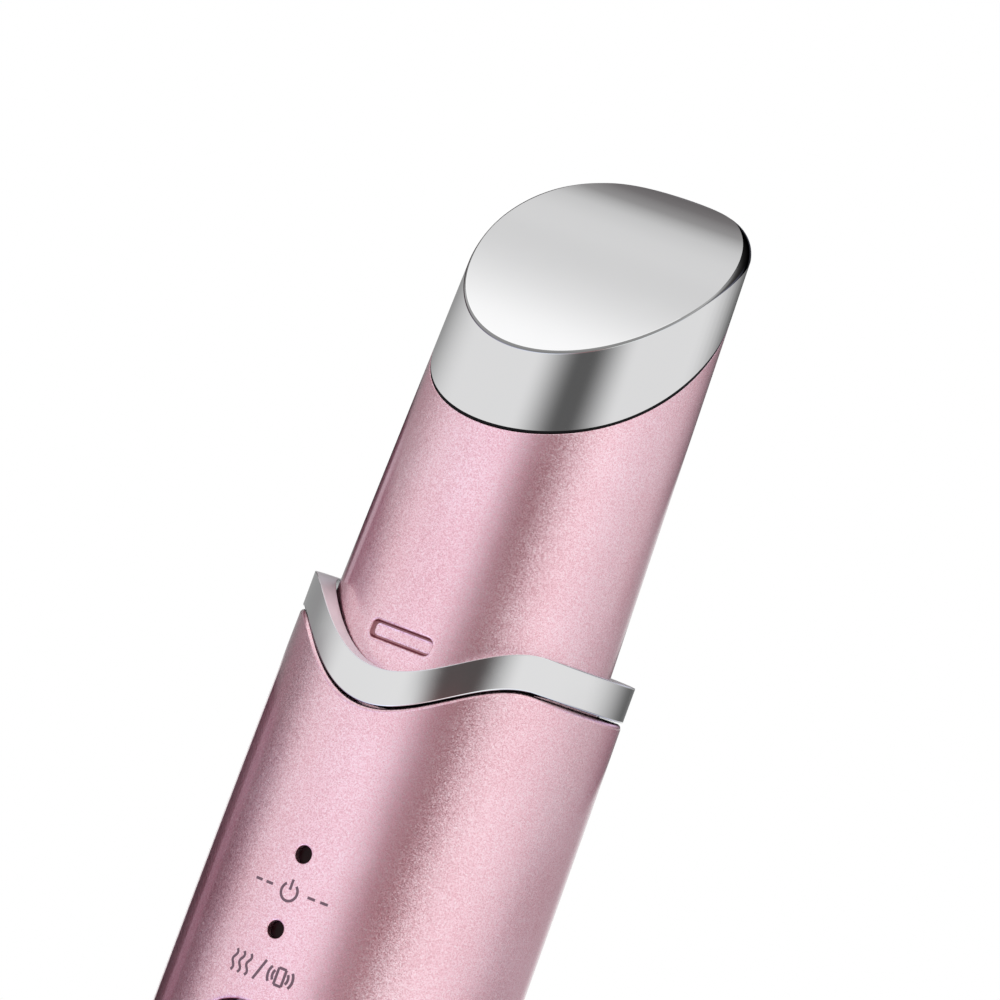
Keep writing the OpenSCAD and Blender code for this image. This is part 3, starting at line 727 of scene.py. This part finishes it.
def head():
    """Polished head: its wall, the rounded rim, the face, and the hollow inside."""
    angles = steps(-180, 180, 2)
    climb = [0.0] + climb_to(22, 0.99)
    rim_rows, face_rings = 9, 44

    def wall(angle, z, inset):
        return (*on_round(angle, body_r(z) - inset), z)

    def skin(inset, depth, rims):
        """Rows up the wall, over the rim and in across the face, and the point that closes them."""
        feet = [meet(a, joint_z, seal_h(a), inset) for a in angles]
        tops = [meet(a, face_z, -depth, inset) for a in angles]
        rows = [[wall(a, foot + (top - rim * RIM_DROP - foot) * w, inset)
                 for a, foot, top, rim in zip(angles, feet, tops, rims)] for w in climb]
        corners = [Vector(wall(a, top, inset)) for a, top in zip(angles, tops)]

        def face_point(corner, reach):
            """Point of the face, this far in from a corner between wall and face."""
            shrink = 1 - reach / math.hypot(corner.x, corner.y)
            x, y = corner.x * shrink, corner.y * shrink
            return Vector((x, y, face_z(y) - depth))

        if any(rims):
            starts = [Vector(p) for p in rows[-1]]
            ends = [face_point(c, rim) for c, rim in zip(corners, rims)]
            bulges = [c.lerp((a + b) / 2, RIM_FLATNESS) for a, c, b in zip(starts, corners, ends)]
            for k in range(1, rim_rows + 1):
                w = k / rim_rows
                rows.append([tuple((1 - w) ** 2 * a + 2 * w * (1 - w) * c + w * w * b)
                             for a, c, b in zip(starts, bulges, ends)])
        for w in [0.005] + [k / face_rings for k in range(1, face_rings)]:
            rows.append([tuple(face_point(c, rim + (math.hypot(c.x, c.y) - rim) * w))
                         for c, rim in zip(corners, rims)])
        return rows, (0, 0, face_z(0) - depth)

    shell = Shell()
    rows, pole = skin(0, 0, [rim_round(a) for a in angles])
    outer = shell.loft(rows)
    shell.close(outer[-1], pole)
    rows, pole = skin(HEAD_WALL, FACE_WALL, [0] * len(angles))
    inner = shell.loft(rows)
    shell.close(inner[-1], pole)
    shell.bridge(outer[0], inner[0])
    piece = shell.make("polished_head_cap", FINISHES["polished_head"], "handle",
                       ("massage_head",), sharp=15)
    first = (len(climb) - 1) * len(angles)
    after = first + rim_rows * len(angles)
    # painted reflection: the rim's faces take the plating that is painted dark round the tip
    paint(piece, RIM_PAINTED_REFLECTION, lambda face: first <= face.index < after)


def gasket():
    """Black seal between neck and head, with a slightly bevelled edge."""
    angles = steps(-180, 180, 3)
    soft = 0.05

    def row(inset, share, lift=0.0):
        """Points at this share of the seal's height, and lift above that."""
        heights = [meet(a, joint_z, seal_h(a) * share + lift, inset) for a in angles]
        return [(*on_round(a, body_r(z) - inset), z) for a, z in zip(angles, heights)]

    shell = Shell()
    grid = shell.loft([row(HEAD_WALL, 0), row(SEAL_RECESS + soft, 0), row(SEAL_RECESS, 0, soft),
                       row(SEAL_RECESS, 1, -soft), row(SEAL_RECESS + soft, 1), row(HEAD_WALL, 1)])
    shell.bridge(grid[-1], grid[0])
    return shell.make("head_seal", FINISHES["black_seal"], "handle", ("head_gasket",))


def button():
    """Push button: its slightly dished face follows the handle, and a flange is behind it."""
    count, face_rings = 72, 14
    edge, dish, bevel_w, bevel_h = 0.35, 0.12, 0.05, 0.15
    play = 0.05                         # between the flange and the handle's bore
    turns = [2 * math.pi * i / count for i in range(count)]
    front_r = handle_r(BUTTON_Z) - CAP_RECESS
    bore = BORE_R - play
    flat = BUTTON_R - edge

    def ring(r, depth_at):
        """Ring of this radius, whose depth comes from how far to the side a point is."""
        return [(r * math.cos(a), depth_at(r * math.cos(a)), BUTTON_Z + r * math.sin(a)) for a in turns]

    def on_front(r, depth):
        return ring(r, lambda x: -math.sqrt(front_r ** 2 - x ** 2) + depth)

    rows = [on_front(flat * k / face_rings, dish * (1 - (k / face_rings) ** 2) ** 2)
            for k in range(1, face_rings + 1)]
    rows += [on_front(flat + edge * up, edge * inwards) for inwards, up in rounding(7)]
    rows += [ring(BUTTON_R, lambda _: -FLANGE_FRONT),
             ring(FLANGE_R - bevel_w, lambda x: max(-FLANGE_FRONT, -math.sqrt(bore ** 2 - x ** 2))),
             ring(FLANGE_R, lambda _: -FLANGE_FRONT + bevel_h),
             ring(FLANGE_R, lambda _: -FLANGE_BACK)]
    shell = Shell()
    grid = shell.loft(rows)
    shell.close(grid[0], (0, -front_r + dish, BUTTON_Z))
    shell.close(grid[-1], (0, -FLANGE_BACK, BUTTON_Z))
    return shell.make("push_button", FINISHES["button_shell"], "button",
                      ("button_cap",))


def marks():
    """Printed marks under the lights: a power sign between dashes, and signs for heat and shaking."""
    width, lift, sink = 0.2, 0.012, 0.05        # a stroke's width, its height and its root's depth
    power_r, power_gap = 0.66, 38
    dash = 0.6
    wave_h, wave_w = 0.78, 0.13
    slash_x, slash_h, slash_w = -0.05, 0.8, 0.3
    shake_x, box_w, box_h = 1.65, 0.3, 0.62
    shell = Shell()

    def stroke(middle, points):
        """Closed ribbon along points (across, up) round a height on the handle's front."""
        rings = []
        for i, (s, t) in enumerate(points):
            a, b = points[max(i - 1, 0)], points[min(i + 1, len(points) - 1)]
            size = math.hypot(b[0] - a[0], b[1] - a[1])
            over, up = (a[1] - b[1]) / size * width / 2, (b[0] - a[0]) / size * width / 2
            ring = []
            for side, height in ((-1, -sink), (1, -sink), (1, lift), (-1, lift)):
                z = middle + t + side * up
                r = handle_r(z)
                ring.append((*on_round(math.degrees((s + side * over) / r), r + height), z))
            rings.append(shell.row(ring))
        shell.cap_ends(rings)

    def line(start, end):
        """Straight stroke in short steps."""
        return [(start[0] + (end[0] - start[0]) * k / 6, start[1] + (end[1] - start[1]) * k / 6)
                for k in range(7)]

    def arc(x, z, r, start, end):
        """Arc round (x, z), its angles counted from straight up."""
        turns = [math.radians(start + (end - start) * k / 24) for k in range(25)]
        return [(x + r * math.sin(a), z + r * math.cos(a)) for a in turns]

    def wave(x):
        """Upright wavy stroke, one and a half waves high."""
        return [(x + wave_w * math.sin(2 * math.pi * k / 12), wave_h * (k / 9 - 1)) for k in range(19)]

    stroke(POWER_MARK_Z, arc(0, -0.1, power_r, power_gap, 360 - power_gap))
    stroke(POWER_MARK_Z, line((0, 0.82), (0, 0.05)))
    for side in (-1, 1):
        for x in (1.5, 2.5):
            stroke(POWER_MARK_Z, line((side * x, 0), (side * (x + dash), 0)))
    for x in (-2.4, -1.75, -1.1):
        stroke(HEAT_MARK_Z, wave(x))
    stroke(HEAT_MARK_Z, line((slash_x - slash_w, -slash_h), (slash_x + slash_w, slash_h)))
    for z in (-box_h, box_h):
        stroke(HEAT_MARK_Z, line((shake_x - box_w, z), (shake_x + box_w, z)))
    for side in (-1, 1):
        x = shake_x + side * box_w
        stroke(HEAT_MARK_Z, line((x, -box_h), (x, box_h)))
        for reach in (0.62, 0.98):
            stroke(HEAT_MARK_Z, arc(shake_x, 0, reach, side * 55, side * 125))
    return shell.make("light_marks", INK, "handle")


def base_cap():
    """Screw-off cap: rounded base with a coin slot, hollow stem, seal groove and thread."""
    count = 96
    lip, top_round, floor_bevel, stem_bevel = 0.12, 0.12, 0.05, 0.3
    flat_r = handle_r(BASE_ROUND) - BASE_ROUND
    angles = [360 * i / count for i in range(count)]
    corners = [square_place(a) for a in angles]

    def round_row(r, z):
        return level_row(angles, r, z)

    def slot_row(grow, z, corner=SLOT_CORNER):
        """The coin slot's outline, grown by grow, at a height."""
        w, h = SLOT_W / 2 + grow, SLOT_H / 2 + grow
        return [(x, -y, z) for x, y in (rounded(s, t, w, h, min(corner, h)) for s, t in corners)]

    def between(a, b, share):
        """Row between two others."""
        return [tuple(c + (d - c) * share for c, d in zip(p, q)) for p, q in zip(a, b)]

    rows = [slot_row(-SLOT_H / 4, SLOT_DEPTH), slot_row(-floor_bevel, SLOT_DEPTH),
            slot_row(0, SLOT_DEPTH - floor_bevel)]
    rows += [slot_row(lip * i, lip * (1 - u), SLOT_CORNER + lip * i) for i, u in [(0, 0)] + rounding(4)]
    rows += [between(rows[-1], round_row(flat_r, 0), share) for share in (0.3, 0.65, 1.0)]
    rows += [round_row(flat_r + BASE_ROUND * u, BASE_ROUND * i) for i, u in rounding(8)]
    rows += [round_row(handle_r(z), z) for z in spans((BASE_ROUND + 0.8, 1.2), end=CAP_TOP - top_round)]
    rows += [round_row(handle_r(CAP_TOP) - top_round * i, CAP_TOP - top_round * (1 - u))
             for i, u in rounding(3)]
    rows += [round_row(BORE_R, CAP_TOP), round_row(BORE_R, CAP_FLOOR), round_row(STEM_R, CAP_FLOOR)]
    rows += [round_row(STEM_R - GROOVE_R * math.sin(b), GROOVE_Z - GROOVE_R * math.cos(b))
             for b in (math.pi * k / 8 for k in range(9))]
    rows += [round_row(STEM_R, STEM_TOP - stem_bevel), round_row(STEM_R - stem_bevel, STEM_TOP),
             round_row(CUP_R, STEM_TOP), round_row(CUP_R, CAP_FLOOR)]
    shell = Shell()
    grid = shell.loft(rows)
    shell.close(grid[0], (0, 0, SLOT_DEPTH))
    shell.close(grid[-1], (0, 0, CAP_FLOOR))
    thread(shell)
    return shell.make("base_cap_casing", FINISHES["pearl_shell"], "base_cap",
                      ("battery_cap",))


def square_place(angle):
    """Place on the edge of a square from -1 to 1, for an angle from the front."""
    x, y = on_round(angle, 1)
    size = max(abs(x), abs(y))
    return x / size, -y / size


def thread(shell):
    """The cap's screw ridge, which fades at both ends, its root sunk a little into the stem."""
    root_w, crest_w, sink = 1.1, 0.6, 0.15
    a_turn, fading = 48, 5              # steps to a turn, and steps over which an end fades
    root_r = STEM_R - sink
    height = THREAD_CREST_R - root_r
    section = [(0, -root_w / 2), (height, -crest_w / 2), (height, crest_w / 2), (0, root_w / 2)]
    count = round(a_turn * THREAD_TURNS)
    rings = []
    for i in range(count + 1):
        a = 2 * math.pi * i / a_turn
        fade = max(0.05, min(1.0, i / fading, (count - i) / fading))
        rise = THREAD_FOOT + THREAD_PITCH * i / a_turn
        ring = [(root_r + out * fade, rise + up) for out, up in section]
        rings.append(shell.row([(r * math.cos(a), r * math.sin(a), z) for r, z in ring]))
    shell.cap_ends(rings)


# ---- studio and camera ----

# View: degrees round from the front, up and leaning; metres away and across; its aim in millimetres
VIEW_AZIMUTH, VIEW_TILT, VIEW_LEAN = 28.5, 0.0, 20.25
VIEW_DISTANCE, VIEW_WIDTH, SENSOR = 0.6, 0.07143, 36
AIM_Z, AIM_SIDE = 110.2, -1.56

# Studio, in metres
SKY_LEVEL = 0.62
TENT_R, TENT_Z = 1.5, 0.1
FLOOR_R, FLOOR_DROP, FADE_START, FADE_END = 0.45, 0.00003, 0.08, 0.40
LAMP_SIZE, LAMP_AIM_Z = 0.7, 0.07

# Heights between which one stretch of the tent's cloth gives way to the next, as shares of its radius
LOW_EDGE, CARDS_START, CARDS_END = (-0.030, -0.026), (-0.006, 0.0), (0.022, 0.03)
RAISED_EDGE, WINGS_EDGE, TOP_EDGE = (0.004, 0.02), (0.12, 0.30), (0.36, 0.5)

# Brightness round the tent, in stops of degrees from the view and a level or colour: at its middle
# height, above that, far above and below, and for the rows of cards below the middle and just on it
LEVEL_STOPS = (
    (-180, 0.36), (-136, 0.36), (-80, 1.01), (-36, 1.01), (-8, 0.096), (12, 0.096), (40, 1.01),
    (90, 1.01), (156, 0.15), (180, 0.25))
RAISED_STOPS = (
    (-180, 0.30), (-172, 0.33), (-92, 0.97), (-34, 0.97), (5, 0.13), (12, 0.13), (50, 0.97),
    (104, 0.97), (112, 0.93), (118, 0.86), (126, 0.75), (134, 0.61), (141, 0.475), (148, 0.345),
    (158, 0.21), (170, 0.12), (180, 0.12))
WINGS_STOPS = (
    (-180, (0.20, 0.19, 0.20)), (-160, (0.12, 0.05, 0.06)), (-116, (0.17, 0.09, 0.12)),
    (-88, (0.44, 0.38, 0.58)), (-60, (0.88, 0.90, 1.22)), (-42, (1.22, 1.30, 1.62)),
    (-22, (1.28, 1.38, 1.62)), (0, (0.58, 0.30, 0.31)), (6, (0.58, 0.30, 0.31)),
    (25, (1.42, 1.50, 1.48)), (50, (1.30, 1.40, 1.46)), (78, (0.68, 0.74, 0.90)),
    (112, (0.50, 0.52, 0.72)), (156, (0.95, 0.98, 1.25)), (180, (0.20, 0.19, 0.20)))
LOW_CARD_STOPS = (
    (-180, 1.0), (-164.5, 1.2), (-162.5, 0.0), (-143, 0.0), (-139, (0.42, 0.27, 0.34)),
    (-130, (0.36, 0.20, 0.27)), (-127, 0.0), (-114, (0.12, 0.07, 0.10)), (-84, 0.98), (-26, 1.01),
    (-5, (0.2, 0.1, 0.1)), (9, (0.2, 0.1, 0.1)), (28, 1.01), (66, 1.01), (106, 0.40), (150, 0.62),
    (165, 0.9), (180, 0.9))
HIGH_CARD_STOPS = (
    (-180, 0.3), (-176, 0.1), (-173, 0.0), (-156, 0.0), (-149, (0.85, 0.72, 0.80)),
    (-144, (0.85, 0.72, 0.80)), (-139, (0.16, 0.08, 0.12)), (-128, (0.16, 0.08, 0.12)),
    (-112, (0.25, 0.20, 0.28)), (-82, 0.95), (-26, 1.01), (-5, (0.26, 0.14, 0.14)),
    (9, (0.26, 0.14, 0.14)), (28, 1.01), (66, 1.01), (106, 0.45), (150, 0.62), (165, 0.85), (180, 0.85))

# Brightness across the tent's top, in stops of the share of its radius behind the axis and a level
TOP_STOPS = (
    (-1.0, 0.62), (-0.5, 0.86), (-0.16, 1.0), (-0.05, 1.37), (0.0, 1.4), (0.043, 1.33), (0.052, 1.18),
    (0.06, 1.055), (0.07, 0.955), (0.082, 0.876), (0.099, 0.862), (0.125, 0.888), (0.166, 0.872),
    (0.242, 0.76), (0.373, (0.385, 0.378, 0.378)), (0.563, (0.225, 0.213, 0.216)),
    (0.753, (0.168, 0.158, 0.161)), (1.0, (0.27, 0.26, 0.265)))


def camera():
    """Camera that looks level at the wand from its right front, rolled so that the wand leans."""
    azimuth, tilt, lean = (math.radians(v) for v in (VIEW_AZIMUTH, VIEW_TILT, VIEW_LEAN))
    side = Vector((math.cos(azimuth), math.sin(azimuth), 0))
    level = math.cos(tilt)
    back = Vector((math.sin(azimuth) * level, -math.cos(azimuth) * level, math.sin(tilt)))
    rise = back.cross(side)
    right = math.cos(lean) * side + math.sin(lean) * rise
    up = math.cos(lean) * rise - math.sin(lean) * side
    target = Vector((0, 0, AIM_Z * MM)) + side * AIM_SIDE * MM
    lens_data = bpy.data.cameras.new("camera")
    lens_data.sensor_width = SENSOR
    lens_data.lens = SENSOR * VIEW_DISTANCE / VIEW_WIDTH
    lens_data.clip_start = 0.05
    eye = into_scene("camera", lens_data)
    turn = Matrix((right, up, back)).transposed().to_4x4()
    eye.matrix_world = Matrix.Translation(target + back * VIEW_DISTANCE) @ turn
    bpy.context.scene.camera = eye


def world():
    """White for what looks or reflects into it, and a plain level for soft light."""
    made = bpy.data.worlds.new("studio_air")
    bpy.context.scene.world = made
    made.use_nodes = True
    nodes, links = made.node_tree.nodes, made.node_tree.links
    ground = nodes["Background"]
    ground.inputs["Color"].default_value = (1, 1, 1, 1)
    path = nodes.new("ShaderNodeLightPath")
    seen = path.outputs["Is Camera Ray"]
    for name in ("Is Glossy Ray", "Is Transmission Ray"):
        both = nodes.new("ShaderNodeMath")
        both.operation = "MAXIMUM"
        links.new(seen, both.inputs[0])
        links.new(path.outputs[name], both.inputs[1])
        seen = both.outputs[0]
    level = nodes.new("ShaderNodeMapRange")
    level.inputs["To Min"].default_value = SKY_LEVEL
    level.inputs["To Max"].default_value = 1.0
    links.new(seen, level.inputs["Value"])
    links.new(level.outputs["Result"], ground.inputs["Strength"])


def tent_cloth():
    """Glowing cloth: bands round the tent for the chrome and the paint, and a top for the face."""
    f = Finish("tent_cloth")
    x, y, z = f.axes(f.vector("NORMALIZE", f.place))
    around = f.maths("ARCTAN2", x, f.maths("MULTIPLY", y, -1.0))
    turned = f.maths("SUBTRACT", around, math.radians(VIEW_AZIMUTH))
    wrapped = f.maths("WRAP", turned, math.pi)
    wrapped.node.inputs[2].default_value = -math.pi
    share = f.span(wrapped, 0, 1, -math.pi, math.pi)

    def round_ramp(stops):
        return f.ramp(share, [((degrees + 180) / 360, level) for degrees, level in stops], "EASE")

    top = f.ramp(f.span(y, 0, 1, -1, 1), [((behind + 1) / 2, level) for behind, level in TOP_STOPS])
    band = f.blend(f.span(z, 0, 1, *RAISED_EDGE, "SMOOTHSTEP"), round_ramp(LEVEL_STOPS),
                   round_ramp(RAISED_STOPS))
    band = f.blend(f.span(z, 1, 0, *LOW_EDGE), band, round_ramp(LOW_CARD_STOPS))
    cards = f.maths("MULTIPLY", f.span(z, 0, 1, *CARDS_START), f.span(z, 1, 0, *CARDS_END))
    band = f.blend(cards, band, round_ramp(HIGH_CARD_STOPS))
    far = f.span(f.maths("ABSOLUTE", z), 0, 1, *WINGS_EDGE, "SMOOTHSTEP")
    walls = f.blend(far, band, round_ramp(WINGS_STOPS))
    colour = f.blend(f.span(z, 0, 1, *TOP_EDGE, "SMOOTHSTEP"), walls, top)
    glow = f.add("ShaderNodeEmission", {"Color": colour, "Strength": 1.0})
    f.nodes.remove(f.shader)
    f.surface(glow.outputs[0])
    f.material.cycles.emission_sampling = "NONE"
    return f.material


def tent():
    """Round light tent that only polished surfaces see: pale sides, a darker opening and top."""
    mesh = mesh_by(bmesh.ops.create_uvsphere, "light_tent", u_segments=96, v_segments=48, radius=TENT_R)
    mesh.shade_smooth()
    mesh.materials.append(tent_cloth())
    cloth = into_scene("light_tent", mesh)
    cloth.location = (0, 0, TENT_Z)
    for kind in ("camera", "diffuse", "transmission", "shadow", "volume_scatter"):
        setattr(cloth, "visible_" + kind, False)


def floor():
    """Pale floor that fades into the white background away from the wand, and is clear from below."""
    f = Finish("floor_paint", Roughness=0.9, Specular_IOR_Level=0.0)
    f.wire("Base Color", f.ramp(f.noise(30, 3), [(0.3, 0.93), (0.7, 0.95)]))
    path = f.add("ShaderNodeLightPath")
    reach = f.add("ShaderNodeVectorMath", {0: f.place}, operation="LENGTH").outputs["Value"]
    fade = f.maths("MULTIPLY", f.span(reach, 0, 1, FADE_START, FADE_END, "SMOOTHSTEP"),
                   path.outputs["Is Camera Ray"])
    white = f.add("ShaderNodeEmission", {"Color": (1, 1, 1, 1), "Strength": 1.0}).outputs[0]
    above = f.add("ShaderNodeMixShader", {0: fade, 1: f.shader.outputs[0], 2: white}).outputs[0]
    under = f.add("ShaderNodeNewGeometry").outputs["Backfacing"]
    clear = f.add("ShaderNodeBsdfTransparent").outputs[0]
    f.surface(f.add("ShaderNodeMixShader", {0: under, 1: above, 2: clear}).outputs[0])
    mesh = mesh_by(bmesh.ops.create_circle, "floor", cap_ends=True, segments=96, radius=FLOOR_R)
    mesh.materials.append(f.material)
    ground = into_scene("floor", mesh)
    ground.location = (0, 0, -FLOOR_DROP)
    ground.visible_glossy = False


def soft_light(name, place, power):
    """Large soft lamp, aimed at the wand's middle and not mirrored in polished metal."""
    data = bpy.data.lights.new(name, "AREA")
    data.shape = "DISK"
    data.size = LAMP_SIZE
    data.energy = power
    lamp = into_scene(name, data)
    lamp.location = place
    aim = Vector((0, 0, LAMP_AIM_Z)) - Vector(place)
    lamp.rotation_euler = aim.to_track_quat("-Z", "Y").to_euler()
    lamp.visible_glossy = False
    lamp.visible_camera = False


camera()
world()
tent()
floor()
soft_light("soft_left", (-0.55, -0.45, 0.75), power=3.0)
soft_light("soft_right", (0.65, -0.25, 0.55), power=2.0)
bpy.context.scene.view_settings.view_transform = "Standard"

for subpart in frame["record"]["subparts"]:
    for holder in frame["nodes"][subpart["node"]].material_slots:
        holder.material = FINISHES[subpart["material_slot"]]

handle()
neck()
collar()
head()
gasket()
button()
marks()
base_cap()
